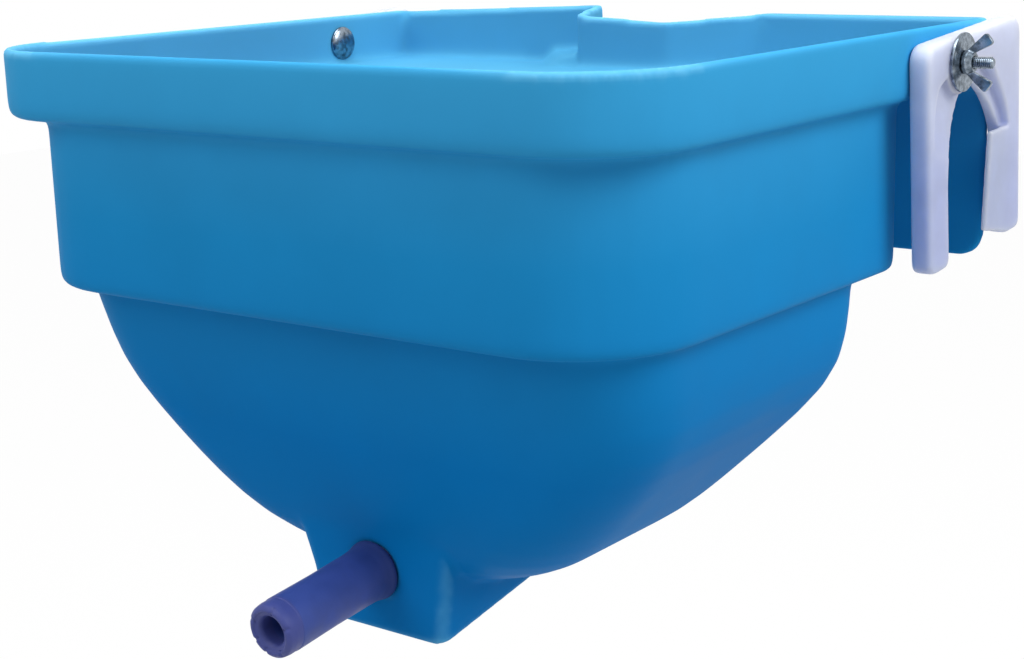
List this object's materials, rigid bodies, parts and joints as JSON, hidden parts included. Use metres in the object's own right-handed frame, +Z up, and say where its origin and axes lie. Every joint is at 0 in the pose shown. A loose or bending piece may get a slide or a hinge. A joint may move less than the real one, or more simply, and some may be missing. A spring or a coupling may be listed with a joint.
{
  "type": "calf feeding bucket",
  "caption": "Hang-on calf feeding bucket: rounded plastic tub with a hopper, a front nose with a rubber teat, a rail channel at the rear, and a bolted hook bracket at each end.",
  "frame": {"origin": "the seat on the rail: the middle of the underside of the channel's roof", "axes": "+X across the tub, +Y to the rear, away from the teat, +Z up"},
  "size_m": [0.4744, 0.3807, 0.3065],
  "materials": {
    "blue_polyethylene": "semi-matt, as rotationally moulded",
    "white_polyethylene": "satin, sawn and flame-smoothed edges",
    "indigo_rubber": "matt",
    "zinc_plated_steel": "bright zinc plating"
  },
  "bodies": {
    "tub": {"tub_shell": "blue_polyethylene", "teat": "indigo_rubber", "bolt_right": "zinc_plated_steel", "bolt_left": "zinc_plated_steel"},
    "bracket_right": {"hook_bracket_right": "white_polyethylene"},
    "washer_right": {"washer_right": "zinc_plated_steel"},
    "wing_nut_right": {"wing_nut_right": "zinc_plated_steel"},
    "bracket_left": {"hook_bracket_left": "white_polyethylene"},
    "washer_left": {"washer_left": "zinc_plated_steel"},
    "wing_nut_left": {"wing_nut_left": "zinc_plated_steel"}
  },
  "joints": [
    {"name": "bracket_swing_right", "type": "hinge", "parent": "tub", "child": "bracket_right", "pos_m": [0.2075, -0.0244, 0.018], "axis": [1, 0, 0], "continuous": true},
    {"name": "washer_slide_right", "type": "slide", "parent": "tub", "child": "washer_right", "axis": [1, 0, 0], "range_m": [0, 0.0091]},
    {"name": "wing_nut_turn_right", "type": "hinge", "parent": "washer_right", "child": "wing_nut_right", "pos_m": [0.2075, -0.0244, 0.018], "axis": [1, 0, 0], "range_deg": [0, 3240]},
    {"name": "bracket_swing_left", "type": "hinge", "parent": "tub", "child": "bracket_left", "pos_m": [-0.2075, -0.0244, 0.018], "axis": [-1, 0, 0], "continuous": true},
    {"name": "washer_slide_left", "type": "slide", "parent": "tub", "child": "washer_left", "axis": [-1, 0, 0], "range_m": [0, 0.0091]},
    {"name": "wing_nut_turn_left", "type": "hinge", "parent": "washer_left", "child": "wing_nut_left", "pos_m": [-0.2075, -0.0244, 0.018], "axis": [-1, 0, 0], "range_deg": [0, 3240]}
  ],
  "couplings": [
    {"joint": "washer_slide_right", "follows": "wing_nut_turn_right", "m_per_rad": 0.00015915},
    {"joint": "washer_slide_left", "follows": "wing_nut_turn_left", "m_per_rad": 0.00015915}
  ]
}
